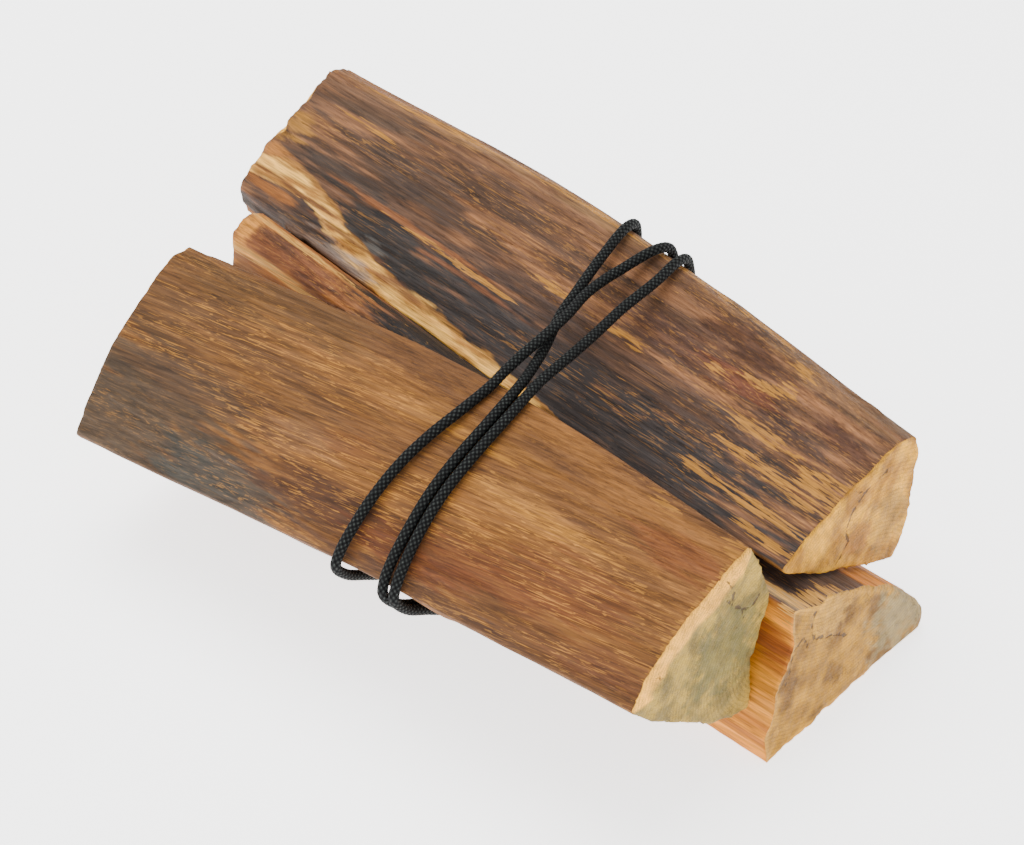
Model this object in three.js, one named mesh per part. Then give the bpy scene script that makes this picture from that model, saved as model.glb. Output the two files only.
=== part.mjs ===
// Firewood bundle: three split logs, tied round the middle with one braided cord.
// Millimetres. X runs along the logs, Z is up, and the bundle lies on the bottom log.
import * as THREE from 'three';

// Each log is lofted through three sections, given from its far end to its near end.
// A section has its place x along the log and an outline of [y, z] points in two stretches:
// round, a smooth curve, which is the weathered outside of the tree, and
// split, the straight-sided faces where the wood was split, which close the outline.
const STEPS_PER_ROUND = 12;
const STATIONS = 22;

const FRONT_LOG = {
  name: 'front_log',
  colour: 0x9c6b38,
  endSlant: 0,
  sections: [
    {
      x: -140,
      round: [[-34, 118], [-45, 119], [-66, 107], [-83, 95], [-97, 78], [-110, 58]],
      split: [[-102, 50], [-81, 39], [-58, 32], [-34, 36], [-36, 60], [-20, 88]],
    },
    {
      x: 20,
      round: [[-18, 121], [-36, 121], [-57, 114], [-78, 103], [-94, 90], [-106, 74]],
      split: [[-94, 60], [-72, 45], [-50, 34], [-19, 33], [-14, 58], [0, 88]],
    },
    {
      x: 172,
      round: [[-26, 120], [-41, 116], [-58, 111], [-75, 104], [-90, 94], [-102, 81]],
      split: [[-87, 65], [-61, 46], [-48, 34], [-24, 27], [-24, 52], [-12, 84]],
    },
  ],
};

const BACK_LOG = {
  name: 'back_log',
  colour: 0x6b5040,
  endSlant: 0,
  sections: [
    {
      x: -182,
      round: [[114, 112], [105, 115], [89, 113], [76, 106], [56, 98], [41, 86]],
      split: [[46, 70], [78, 50], [97, 50], [108, 64], [114, 96]],
    },
    {
      x: -6,
      round: [[106, 115], [96, 119], [74, 112], [58, 105], [41, 96], [19, 80]],
      split: [[38, 64], [72, 46], [87, 43], [98, 55], [106, 96]],
    },
    {
      x: 168,
      round: [[92, 99], [79, 104], [61, 101], [43, 98], [22, 93], [0, 86]],
      split: [[22, 69], [64, 46], [80, 38], [87, 45], [93, 87]],
    },
  ],
};

const BOTTOM_LOG = {
  name: 'bottom_log',
  colour: 0xb5793f,
  endSlant: -0.044,
  sections: [
    {
      x: -150,
      round: [[36, 76], [24, 95], [18, 100], [10, 103], [3, 99]],
      split: [[2, 84], [-12, 38], [-18, 12], [-14, -6], [14, -6], [98, -6], [100, 12], [84, 30], [58, 50]],
    },
    {
      x: 20,
      round: [[38, 60], [21, 74], [14, 79], [8, 82], [-1, 82]],
      split: [[-1, 72], [-16, 35], [-21, 13], [-18, 7.5], [9, 7.5], [93, 7.5], [95, 10], [84, 23], [62, 43]],
    },
    {
      x: 183,
      round: [[43, 54], [17, 68], [11, 68], [3, 72], [-10, 79]],
      split: [[-9, 60], [-21, 38], [-25, 12], [-22, -6], [4, -6], [87, -6], [90, 7], [83, 19], [64, 40]],
    },
  ],
};

// One section's outline as [y, z] points in order round the log.
function outlinePoints(section) {
  const curve = new THREE.SplineCurve(section.round.map(([y, z]) => new THREE.Vector2(y, z)));
  const round = curve.getPoints(STEPS_PER_ROUND).map((point) => [point.x, point.y]);
  return [...round, ...section.split];
}

// The outline at one place between the sections, on a smooth curve through each point of them.
// What would reach below the ground is pressed flat, which gives the bottom log a flat foot near
// each end and leaves its underside hollow in the middle, where the cord passes.
function loftedRing(log, fraction) {
  const outlines = log.sections.map(outlinePoints);
  return outlines[0].map((unused, i) => {
    const along = log.sections.map((section, s) => new THREE.Vector3(section.x, ...outlines[s][i]));
    const point = new THREE.CatmullRomCurve3(along, false, 'catmullrom', 0.5).getPoint(fraction);
    point.x += log.endSlant * point.y * fraction;
    point.z = Math.max(point.z, 0);
    return point;
  });
}

// A closed solid from rings of equal length, with a flat fan over each end.
function solidFromRings(rings) {
  const perRing = rings[0].length;
  const points = rings.flat();
  const triangles = [];
  for (let r = 0; r + 1 < rings.length; r++) {
    for (let i = 0; i < perRing; i++) {
      const a = r * perRing + i;
      const b = r * perRing + ((i + 1) % perRing);
      triangles.push([a, b, b + perRing]);
      triangles.push([a, b + perRing, a + perRing]);
    }
  }
  const flatEnd = rings[0].map((point) => new THREE.Vector2(point.y, point.z));
  const nearEnd = rings.at(-1).map((point) => new THREE.Vector2(point.y, point.z));
  const lastRing = (rings.length - 1) * perRing;
  THREE.ShapeUtils.triangulateShape(flatEnd, []).forEach(([a, b, c]) => triangles.push([a, c, b]));
  THREE.ShapeUtils.triangulateShape(nearEnd, []).forEach(([a, b, c]) => {
    triangles.push([lastRing + a, lastRing + b, lastRing + c]);
  });
  const geometry = new THREE.BufferGeometry().setFromPoints(points);
  geometry.setIndex(triangles.flat());
  geometry.computeVertexNormals();
  return geometry;
}

function makeLog(log) {
  const rings = [];
  for (let step = 0; step <= STATIONS; step++) {
    rings.push(loftedRing(log, step / STATIONS));
  }
  const material = new THREE.MeshStandardMaterial({ color: log.colour, roughness: 0.85, metalness: 0 });
  const mesh = new THREE.Mesh(solidFromRings(rings), material);
  mesh.name = log.name;
  return mesh;
}

// The cord goes three times round the logs, stretched tight over their edges. It starts at the
// knot on the back, climbs, crosses the top to the front log, and comes back under the bottom log.
const CORD_DIAMETER = 4.8;
const CORD_SIDES = 8;
const STEPS_PER_POINT = 2;

const FIRST_TURN = [
  [3, 104, 66], [0, 106.6, 84], [-2, 108.8, 102], [-2, 109, 111.5], [-1.6, 107, 118],
  [0, 99, 121.9], [5, 77, 122], [12.5, 50, 121.7], [17, 34, 121], [25, 15, 120],
  [31, 0, 121.5], [35.5, -12, 123.4], [39.5, -28, 124.4], [41.3, -44, 122], [41, -58, 116.9],
  [40.5, -76, 107.7], [41, -92, 96.2], [41, -103.3, 84.2], [41.5, -107.6, 78], [42.2, -109, 73],
  [43.2, -102, 63], [43.7, -89, 53.8], [44, -62, 34.5], [44.3, -46, 23.3], [44.5, -30, 11.3],
  [44.5, -19.6, 4.1], [44.3, -4, 3.9], [44, 40, 3.9], [43.2, 86, 3.9], [42.8, 94, 3.8],
  [42.5, 97.6, 6.6], [42.2, 98.6, 12], [41.5, 98.8, 30],
];
const SECOND_TURN = [
  [38.3, 102.2, 61], [33.8, 105.5, 85], [31, 107.2, 100], [29.8, 107.1, 110], [30, 104.7, 116.3],
  [31.2, 96, 120.2], [33.2, 80, 120.8], [34.5, 55, 121.4], [37.2, 34, 122.1], [39.3, 14, 122.9],
  [41, -6, 123.6], [43.5, -19, 124.2], [45.6, -30, 124.2], [46.9, -44, 122], [46.7, -58, 116.9],
  [46.1, -76, 107.7], [46.7, -92, 96.2], [47.4, -103.3, 84.2], [47.9, -107.6, 78], [48.3, -108.8, 73],
  [48.8, -101.6, 62.8], [49.3, -88, 53.3], [49.7, -62, 34.5], [50, -46, 23.3], [50, -30, 11.3],
  [50, -19.6, 4], [49.8, -4, 3.8], [49.4, 40, 3.8], [48.6, 86, 3.8], [48.1, 94, 3.7],
  [47.9, 97.6, 6.6], [47.5, 99.6, 13], [45.4, 103, 23],
  [40.5, 104.6, 36],
];
const THIRD_TURN = [
  [33, 105.2, 60], [27, 106.9, 84], [21.7, 107.6, 103], [20.2, 107.5, 111.5], [19.7, 105, 117],
  [19.3, 96, 121.3], [17.4, 76, 122], [16.6, 62, 122.4], [17.7, 50, 123.3], [21.6, 34, 124.7],
  [24.8, 15, 126.3], [25.2, 0, 125.4], [26.2, -13, 124.7], [27.6, -24, 124.3], [27.3, -42, 122.7],
  [23.8, -57, 117.4], [20.5, -72, 110], [18.2, -87, 100], [16.6, -99, 88.7], [15.6, -106.3, 79.5],
  [15.4, -109.2, 72.8], [15, -102.8, 63.3], [14.6, -89, 53], [14, -62, 34.2], [14, -46, 23.2],
  [14, -30, 11.4], [14, -19, 4.4], [13.7, -4, 4.1], [13, 40, 4.1], [11.5, 86, 4.1],
  [10.6, 94.5, 4.2], [9, 98, 8.2],
];

// One half of the reef knot, from its standing part to its tail, as [across, outward, along]
// from the knot's middle. The other half is the same, turned end for end and front to back.
const KNOT_MIDDLE = [7, 102.8, 37];
const KNOT_HALF = [
  [-2.8, -1.5, 19], [-2.7, -3.2, 13], [-3.8, 0, 6.5], [-6.6, 3.2, 0], [-9.4, 0, -6.5],
  [-10.2, -3, -12.5], [-7, -3.6, -17.5], [0, -3.8, -19.4], [7, -3.6, -17.5], [10.2, -3, -12.5],
  [9.4, 0, -6.5], [6.6, 3.2, 0], [3.8, 0, 6.5], [2.7, -3.2, 13], [3, -1, 19],
];
const UPPER_TAIL = [[6, 1.5, 25], [12, 4.5, 28], [18, 5.5, 25.5], [22, 5.5, 19]];
const LOWER_TAIL = [[5.5, 2.5, -23], [10, 3, -27], [16, 3, -29], [23, 3, -29.5]];

// A point given from the knot's middle, in the bundle's own place.
function besideKnot(offset) {
  return new THREE.Vector3(...KNOT_MIDDLE).add(new THREE.Vector3(...offset));
}

function cordPoints() {
  const turnedHalf = KNOT_HALF.map(([across, outward, along]) => [across, -outward, -along]);
  const upper = [...KNOT_HALF, ...UPPER_TAIL].reverse().map(besideKnot);
  const lower = [...turnedHalf, ...LOWER_TAIL].map(besideKnot);
  const turns = [...FIRST_TURN, ...SECOND_TURN, ...THIRD_TURN];
  return [...upper, ...turns.map((point) => new THREE.Vector3(...point)), ...lower];
}

// A curve stepped by its own points and not by its length, so that short bends get as many steps.
class CordRoute extends THREE.CatmullRomCurve3 {
  getPointAt(fraction, target) {
    return this.getPoint(fraction, target);
  }

  getTangentAt(fraction, target) {
    return this.getTangent(fraction, target);
  }
}

function makeCord() {
  const route = new CordRoute(cordPoints(), false, 'centripetal');
  const section = new THREE.Shape();
  section.absarc(0, 0, CORD_DIAMETER / 2, 0, 2 * Math.PI);
  const geometry = new THREE.ExtrudeGeometry(section, {
    extrudePath: route,
    steps: (route.points.length - 1) * STEPS_PER_POINT,
    curveSegments: CORD_SIDES / 2,
  });
  const material = new THREE.MeshStandardMaterial({ color: 0x1d1d1f, roughness: 0.7, metalness: 0 });
  const mesh = new THREE.Mesh(geometry, material);
  mesh.name = 'binding_cord';
  return mesh;
}

// The group is set so that its origin is under the middle of the whole bundle.
const MIDDLE = [1.05, 1.2];
const bundle = new THREE.Group();
bundle.position.set(-MIDDLE[0], -MIDDLE[1], 0);
for (const log of [FRONT_LOG, BACK_LOG, BOTTOM_LOG]) {
  bundle.add(makeLog(log));
}
bundle.add(makeCord());

export default bundle;
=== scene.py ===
# %% [markdown]
# # A firewood bundle
#
# Three split logs without bark lie together and are tied round the middle with one braided
# cord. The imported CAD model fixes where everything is. This lesson gives each log and the cord
# a finished surface in the same place: wood with checks, torn fibres and weathered colour, and
# a cord with its braid. Lengths in the formulas are millimetres, and the meshes are metres.

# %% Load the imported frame
import itertools

import bpy
import numpy as np
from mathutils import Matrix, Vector


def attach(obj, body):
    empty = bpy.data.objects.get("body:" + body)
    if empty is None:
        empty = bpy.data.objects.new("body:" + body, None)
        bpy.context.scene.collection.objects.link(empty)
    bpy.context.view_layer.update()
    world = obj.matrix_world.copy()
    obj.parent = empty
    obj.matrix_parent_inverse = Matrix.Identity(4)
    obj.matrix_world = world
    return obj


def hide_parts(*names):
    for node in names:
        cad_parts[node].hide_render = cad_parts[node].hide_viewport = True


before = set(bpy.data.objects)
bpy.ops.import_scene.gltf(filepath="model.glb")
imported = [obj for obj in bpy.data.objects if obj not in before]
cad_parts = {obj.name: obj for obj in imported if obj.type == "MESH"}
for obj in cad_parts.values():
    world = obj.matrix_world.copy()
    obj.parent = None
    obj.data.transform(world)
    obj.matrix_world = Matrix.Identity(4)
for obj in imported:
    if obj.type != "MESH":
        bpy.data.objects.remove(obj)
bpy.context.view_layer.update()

# %% [markdown]
# ## The shape of a split log
#
# A log is split from a round: one side is the old outside of the tree, which is a smooth curve,
# and the others are nearly flat faces. It could be carved from a cylinder, but a loft says more
# plainly what it is: three outlines across the log, joined by smooth curves along the grain.
# Each outline has a `round` stretch and a `split` stretch, as [y, z] points.
# `places` are the outlines' places along the log, and `end_slant` is how far the near end leans.
#
# The other entries say how the log is worn. `soften` is how far each outline's corners are
# rounded. `notches` are bites in the far rim: distance round it, width and depth. `scuffed` and
# `bare` are ovals on the side, each a place (x, distance round) and a half-size. `ragged` is how
# far the far and near rims are torn, and `seed` begins the log's own random numbers.

# %% The three outlines of each log
FRONT_LOG = {
    "end_slant": 0.0,
    "soften": [1.9, 0.7, 1.9],
    "scuffed": [
        ((90, 42), (44, 8)), ((-70, 30), (60, 12)), ((20, 60), (50, 12)), ((130, 60), (40, 14)),
    ],
    "places": [-140, 20, 172],
    "notches": [(8, 4, 1.5)],
    "bare": [
        ((90, 42), (34, 3.6)), ((128, 6), (8, 3)), ((166, 4), (8, 5)), ((30, 28), (30, 3)),
        ((172, 40), (5, 50)),
    ],
    "ragged": (0.8, 1.8),
    "seed": 100,
    "round": [
        [[-34, 118], [-45, 119], [-66, 107], [-83, 95], [-97, 78], [-110, 58]],
        [[-18, 121], [-36, 121], [-57, 114], [-78, 103], [-94, 90], [-106, 74]],
        [[-26, 120], [-41, 116], [-58, 111], [-75, 104], [-90, 94], [-102, 81]],
    ],
    "split": [
        [[-102, 50], [-81, 39], [-58, 32], [-34, 36], [-36, 60], [-20, 88]],
        [[-94, 60], [-72, 45], [-50, 34], [-19, 33], [-14, 58], [0, 88]],
        [[-87, 65], [-61, 46], [-48, 34], [-24, 27], [-24, 52], [-12, 84]],
    ],
}
BACK_LOG = {
    "end_slant": 0.0,
    "soften": [2.2, 0.7, 2.0],
    "scuffed": [((100, 40), (50, 16)), ((-40, 28), (60, 10)), ((120, 76), (40, 8))],
    "places": [-182, -6, 168],
    "notches": [(57, 3.5, 5.0), (34, 6, 2.0), (12, 5, -2.0)],
    "bare": [
        ((116, 46), (22, 4)), ((134, 59), (36, 4.2)), ((156, 50), (16, 8)), ((112, 75), (24, 2.6)),
        ((140, 74), (24, 3.2)), ((80, 34), (7, 2.6)), ((100, 28), (16, 2.4)), ((112, 12), (8, 3.6)),
        ((112, 23), (6, 3)), ((171, 45), (6, 60)), ((-110, 8), (50, 3)), ((-20, 6), (50, 3)),
        ((60, 4), (50, 2.6)), ((-10, 46), (12, 3)), ((36, 45), (12, 3)), ((146, 84), (24, 2.4)),
        ((-60, 62), (40, 2)), ((-140, 30), (20, 2)),
    ],
    "ragged": (2.0, 1.3),
    "seed": 200,
    "round": [
        [[114, 112], [105, 115], [89, 113], [76, 106], [56, 98], [41, 86]],
        [[106, 115], [96, 119], [74, 112], [58, 105], [41, 96], [19, 80]],
        [[92, 99], [79, 104], [61, 101], [43, 98], [22, 93], [0, 86]],
    ],
    "split": [
        [[46, 70], [78, 50], [97, 50], [108, 64], [114, 96]],
        [[38, 64], [72, 46], [87, 43], [98, 55], [106, 96]],
        [[22, 69], [64, 46], [80, 38], [87, 45], [93, 87]],
    ],
}
BOTTOM_LOG = {
    "end_slant": -0.044,
    "soften": [1.4, 0.7, 1.4],
    "scuffed": [((150, 30), (30, 12))],
    "places": [-150, 20, 183],
    "notches": [],
    "bare": [
        ((160, 44), (36, 5)), ((178, 34), (7, 22)), ((-120, 57), (50, 3.4)), ((-124, 33), (40, 3.4)),
    ],
    "ragged": (1.5, 1.6),
    "seed": 300,
    "round": [
        [[36, 76], [24, 95], [18, 100], [10, 103], [3, 99]],
        [[38, 60], [21, 74], [14, 79], [8, 82], [-1, 82]],
        [[43, 54], [17, 68], [11, 68], [3, 72], [-10, 79]],
    ],
    "split": [
        [[2, 84], [-12, 38], [-18, 12], [-14, -6], [14, -6], [98, -6], [100, 12], [84, 30], [58, 50]],
        [[-1, 72], [-16, 35], [-21, 13], [-18, 7.5], [9, 7.5], [93, 7.5], [95, 10], [84, 23], [62, 43]],
        [[-9, 60], [-21, 38], [-25, 12], [-22, -6], [4, -6], [87, -6], [90, 7], [83, 19], [64, 40]],
    ],
}
MIDDLE = np.array([1.05, 1.2, 0.0])
print("lengths in mm:", [log["places"][2] - log["places"][0] for log in (FRONT_LOG, BACK_LOG, BOTTOM_LOG)])

# %% A smooth curve through points
def catmull_rom(before, start, end, after, t):
    """The cubic from start to end whose slope at each of them is half the step between its
    neighbours, at t from 0 to 1."""
    slope_in = (end - before) / 2
    slope_out = (after - start) / 2
    cubic = 2 * start - 2 * end + slope_in + slope_out
    square = -3 * start + 3 * end - 2 * slope_in - slope_out
    return ((cubic * t + square) * t + slope_in) * t + start


def outline_at(round_points, split_points, u):
    """Outline points for u, which counts the control points: a smooth curve over the round ones,
    and straight lines over the split ones and back to the first."""
    points = np.array(round_points + split_points, float)
    last_round = len(round_points) - 1
    i = np.floor(u).astype(int) % len(points)
    t = (u - np.floor(u))[:, None]
    start, end = points[i], points[(i + 1) % len(points)]
    before, after = points[np.maximum(i - 1, 0)], points[np.minimum(i + 2, last_round)]
    curved = catmull_rom(before, start, end, after, t)
    return np.where((i < last_round)[:, None], curved, start + (end - start) * t)


print("halfway on the curve 0, 1, 2, 4:", catmull_rom(0, 1, 2, 4, 0.5))

# %% Even steps round a log
AROUND = 400


def even_steps(log):
    """Values of u that are evenly spaced round the log, by the mean length of its three outlines.
    Also returns each one's distance round the outline in mm."""
    controls = len(log["round"][0]) + len(log["split"][0])
    dense = np.linspace(0, controls, controls * 60 + 1)
    travelled = np.zeros(len(dense))
    for round_points, split_points in zip(log["round"], log["split"]):
        ring = outline_at(round_points, split_points, dense)
        travelled[1:] += np.cumsum(np.linalg.norm(np.diff(ring, axis=0), axis=1)) / 3
    distance = np.arange(AROUND) / AROUND * travelled[-1]
    return np.interp(distance, travelled, dense), distance


def soften_corners(ring, width):
    """A ring blurred round itself by a bell curve of that width in steps, which rounds corners."""
    waves = np.fft.fftfreq(len(ring))[:, None]
    return np.fft.ifft(np.fft.fft(ring, axis=0) * np.exp(-2 * (np.pi * waves * width) ** 2), axis=0).real


# %% The loft along the grain
STATIONS = 176


def loft(log):
    """The log's side as a grid of points, stations by steps round it: each step's three outline
    points are joined by a smooth curve. Below the ground it is pressed flat."""
    u, distance = even_steps(log)
    step = distance[1]
    rings = []
    sections = zip(log["places"], log["round"], log["split"], log["soften"])
    for x, round_points, split_points, soften in sections:
        ring = soften_corners(outline_at(round_points, split_points, u), soften / step)
        rings.append(np.column_stack([np.full(AROUND, float(x)), ring]))
    far, middle, near = rings
    fraction = np.linspace(0, 1, STATIONS)[:, None, None]
    first_half = catmull_rom(2 * far - middle, far, middle, near, 2 * fraction)
    second_half = catmull_rom(far, middle, near, 2 * near - middle, 2 * fraction - 1)
    grid = np.where(fraction < 0.5, first_half, second_half)
    grid[..., 0] += log["end_slant"] * grid[..., 1] * fraction[..., 0]
    grid[..., 2] = np.maximum(grid[..., 2], 0)
    return grid, u, distance


for name, log in [("front", FRONT_LOG), ("back", BACK_LOG), ("bottom", BOTTOM_LOG)]:
    grid, u, distance = loft(log)
    print(name, "log: step round it", round(distance[1], 2), "mm, step along it",
          round((log["places"][2] - log["places"][0]) / STATIONS, 2), "mm")

# %% [markdown]
# ## Roughness that follows the grain
#
# Wood is made of fibres, so its bumps, cracks and stains are long along the log and narrow
# across it. A sculpting brush could draw them, but noise drawn out along X gives them all at
# once and the same each time. Random numbers at the corners of a lattice are blended smoothly.

# %% Smooth random values, drawn out along the grain
def lattice_value(cells, seed):
    """A number from 0 to 1 for each cell of a lattice: the fraction left of a large sine."""
    mixed = cells @ np.array([127.1, 311.7, 74.7]) + 19.19 * seed
    return np.modf(np.abs(np.sin(mixed)) * 43758.5453)[0]


def smooth_noise(points, seed):
    """From -1 to 1: the eight corners' numbers, blended by 3tt - 2ttt along each axis."""
    base = np.floor(points)
    t = points - base
    t = t * t * (3 - 2 * t)
    total = 0
    for corner in itertools.product((0, 1), repeat=3):
        weight = np.prod(np.where(np.array(corner) == 1, t, 1 - t), axis=-1)
        total = total + weight * lattice_value(base + np.array(corner), seed)
    return 2 * total - 1


def grain_noise(points, along, across, seed, layers=3):
    """Noise whose blobs are `along` mm long in X and `across` mm wide, plus halves of them at half
    the height, for as many layers."""
    scaled = points / np.array([along, across, across])
    return sum(smooth_noise(scaled * 2**k, seed + k) / 2**k for k in range(layers))


def ramp(value, low, high):
    """0 below low, 1 above high, and a smooth step in between."""
    t = np.clip((value - low) / (high - low), 0, 1)
    return t * t * (3 - 2 * t)


sample = grain_noise(np.random.default_rng(1).uniform(-100, 100, (1000, 3)), 40.0, 4.0, 5)
print("grain noise runs from", sample.min().round(2), "to", sample.max().round(2))

# %% [markdown]
# ## Colour patches
#
# Weathered wood isn't one brown. Rain, soil and sun leave patches that are long along the log.
# They could be painted by hand on an image, but here each is one line: a place (x, distance
# round), a half-size, a colour and a strength. Noise frays their edges along the grain. One dark
# patch on the bottom log is painted shadow, not weathering.

# %% Colours and patches
LAMP_GAIN = 0.4


def tint(red, green, blue):
    """A colour from 0 to 255, as it should look in the finished picture, as the linear colour that
    gives it there. The lamps are bright, so all colours are darker by LAMP_GAIN, and the picture's
    tone curve pales light colours. So the highest channel h becomes h (1 + 2.4 hhh), and each
    channel's share of it is raised to the power 1 + 1.1 h."""
    shown = np.array([red, green, blue]) / 255
    linear = ((shown + 0.055) / 1.055) ** 2.4
    high = linear.max()
    return LAMP_GAIN * high * (1 + 2.4 * high**3) * (linear / high) ** (1 + 1.1 * high)


print("a golden brown is", tint(172, 126, 66).round(3))


def patch(colour, grid, distance, place, size, new_colour, strength=1.0, fray=0.5, seed=0, edge=0.35):
    """Mixes new_colour in over an oval at place (x, distance round), of that half-length and
    half-width. The oval's edge is moved by grain noise, coarse and fine, times fray."""
    along = (grid[..., 0] - place[0]) / size[0]
    across = (distance[None, :] - place[1]) / size[1]
    inside = 1 - np.sqrt(along**2 + across**2)
    coarse = grain_noise(grid, 26.0, 3.0, seed, 2)
    fine = grain_noise(grid, 13.0, 1.0, seed + 9, 2)
    frayed = inside + fray * (0.7 * coarse + 0.5 * fine)
    amount = strength * ramp(frayed, -edge, edge)[..., None]
    return colour * (1 - amount) + new_colour * amount


# %% A coloured band
def band(colour, grid, distance, course, half_width, new_colour, strength=1.0, fray=0.3, seed=0):
    """Mixes new_colour in along a line round the log: course and half_width are each a list of x
    and a list of distances round it, joined by straight lines."""
    x = grid[..., 0]
    off = np.abs(distance[None, :] - np.interp(x, *course)) / np.interp(x, *half_width)
    frayed = 1 - off + fray * grain_noise(grid, 18.0, 2.0, seed, 3)
    amount = strength * ramp(frayed, -0.15, 0.2)[..., None]
    return colour * (1 - amount) + new_colour * amount


def mottle(points, along, across, seed, first, second):
    """Two colours mixed by grain noise."""
    amount = ramp(grain_noise(points, along, across, seed), -0.7, 0.7)[..., None]
    return first * (1 - amount) + second * amount


def spot(colour, points, centre, radius, new_colour, strength, seed):
    """Mixes new_colour into a cut end, over a ragged round spot at centre (y, z)."""
    off = np.linalg.norm(points[..., 1:] - np.array(centre), axis=-1) / radius
    ragged = 1 - off + 0.5 * grain_noise(points, 3.0, 3.0, seed)
    amount = strength * ramp(ragged, -0.3, 0.4)[..., None]
    return colour * (1 - amount) + new_colour * amount


# %% [markdown]
# ## The cut ends
#
# A saw leaves a nearly flat face with a broken rim, faint arcs and a few cracks. Each end is
# made of rings that shrink from the rim to one point, so the skin stays closed. The face stands
# a little out from the rim, as a worn edge does.

# %% Rings that close an end
CAP_RINGS = 24
CAP_CROWDING = 1.6
RIM_WEAR = 0.9
SAW_WAVE = 0.35
RIM_FADE = 2.5


def cap_rings(rim, outward, seed):
    """Rings from the rim to the middle, the rim excluded: each is the rim shrunk towards its mean
    point, and they crowd near the rim. The face stands RIM_WEAR out just inside the rim and waves
    by SAW_WAVE, and the rim's own tears fade over RIM_FADE. Also returns the depth from the rim."""
    shrink = (1 - (np.arange(1, CAP_RINGS + 1) / (CAP_RINGS + 1)) ** CAP_CROWDING)[:, None, None]
    centre = rim.mean(axis=0)
    rings = centre + (rim - centre) * shrink
    inset = np.linalg.norm((rim - centre)[:, 1:], axis=1) * (1 - shrink[..., 0])
    rise = RIM_WEAR * (1 - np.exp(-inset / 0.9))
    waves = smooth_noise(rings / 9.0, seed) * SAW_WAVE * ramp(inset, 0, 6)
    rim_x = (rim[:, 0] - centre[0]) * np.exp(-inset / RIM_FADE)
    rings[..., 0] = centre[0] + rim_x + outward * (rise + waves)
    return rings, inset


# %% Building a closed skin
METRE = 0.001


def closed_mesh(name, grid, first_pole, last_pole):
    """A mesh over rings of points: four-sided faces between neighbours, and a fan of triangles
    from the first and last ring to a pole. Points go counterclockwise, seen from the last ring."""
    rings, around = grid.shape[:2]
    points = np.vstack([grid.reshape(-1, 3), first_pole, last_pole]) * METRE
    ring, step = np.meshgrid(np.arange(rings - 1), np.arange(around), indexing="ij")
    here = (ring * around + step).ravel()
    beside = (ring * around + (step + 1) % around).ravel()
    quads = np.stack([here, beside, beside + around, here + around], axis=1)
    edge = np.arange(around)
    after = (edge + 1) % around
    top = (rings - 1) * around
    first_fan = np.stack([np.full(around, rings * around), after, edge], axis=1)
    last_fan = np.stack([np.full(around, rings * around + 1), top + edge, top + after], axis=1)
    corners = np.concatenate([quads.ravel(), first_fan.ravel(), last_fan.ravel()])
    sides = np.concatenate([np.full(len(quads), 4), np.full(2 * around, 3)])
    mesh = bpy.data.meshes.new(name)
    mesh.vertices.add(len(points))
    mesh.vertices.foreach_set("co", points.astype(np.float32).ravel())
    mesh.loops.add(len(corners))
    mesh.loops.foreach_set("vertex_index", corners.astype(np.int32))
    mesh.polygons.add(len(sides))
    mesh.polygons.foreach_set("loop_start", (np.cumsum(sides) - sides).astype(np.int32))
    mesh.update(calc_edges=True)
    mesh.shade_smooth()
    piece = bpy.data.objects.new(name, mesh)
    bpy.context.scene.collection.objects.link(piece)
    print(name, "has", len(quads) * 2 + 2 * around, "triangles")
    return piece


def store(piece, name, values):
    """Keeps one number or one colour for each vertex, for the material to read."""
    kind, key = ("FLOAT", "value") if values.ndim == 1 else ("FLOAT_COLOR", "color")
    attribute = piece.data.attributes.new(name, kind, "POINT")
    if values.ndim == 2:
        values = np.column_stack([values, np.ones(len(values))])
    attribute.data.foreach_set(key, values.astype(np.float32).ravel())


# %% Where a log is old outside, and how its skin is pressed in
CORD_PLACE = 26
CORD_REACH = 30


def outside_share(log, u):
    """1 on the old outside of the tree and 0 on the split faces, with a short blend between, for
    each step round the log."""
    last_round = len(log["round"][0]) - 1
    share = ramp(u, -0.05, 0.05) * (1 - ramp(u, last_round - 0.1, last_round + 0.1))
    return np.maximum(share, ramp(u, u[-1] - 0.05, u[-1]))


def outward_normals(grid):
    """Unit normals of the side: the step round the log crossed with the step along it."""
    round_step = np.roll(grid, -1, axis=1) - np.roll(grid, 1, axis=1)
    along_step = np.gradient(grid, axis=0)
    normals = np.cross(round_step, along_step)
    return -normals / np.linalg.norm(normals, axis=-1, keepdims=True)


def press_relief(grid, height):
    """The grid moved along its normals by height: not at all on the ground, and a tenth as far
    where the cord lies on it."""
    off_ground = ramp(grid[..., 2], 0.0, 2.5)
    clear_of_cord = 1 - 0.9 * np.exp(-(((grid[..., 0] - CORD_PLACE) / CORD_REACH) ** 4))
    return grid + outward_normals(grid) * (height * off_ground * clear_of_cord)[..., None]


# %% Torn rims
STATION_STEP = 1.9
TEAR_FADE = 6.0


def tear_rims(grid, distance, log):
    """Moves both rims along the grain, by noise times the log's raggedness, and bites its notches
    out of the far one. A tear fades over TEAR_FADE mm from the rim."""
    far_half = grid[..., 0] < 0
    coarse = grain_noise(grid, 400.0, 15.0, log["seed"] + 40, 2)
    fine = grain_noise(grid, 400.0, 2.6, log["seed"] + 42, 2)
    far_ragged, near_ragged = log["ragged"]
    tear = np.where(far_half, -far_ragged, near_ragged) * (0.8 * coarse + 0.3 * fine - 0.5)
    for place, width, depth in log["notches"]:
        tear += np.where(far_half, depth, 0) * np.exp(-(((distance[None, :] - place) / width) ** 2))
    station = np.arange(STATIONS)
    from_rim = np.minimum(station, station[::-1])[:, None] * STATION_STEP
    grid[..., 0] += tear * np.exp(-from_rim / TEAR_FADE)


# %% Scuffed and bare places
def raised_in(values, grid, distance, ovals, *how):
    """The values, from 0 to 1, brought up to 1 over each of the ovals."""
    values = values[..., None]
    for place, size in ovals:
        values = patch(values, grid, distance, place, size, 1.0, *how)
    return values[..., 0]


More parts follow.
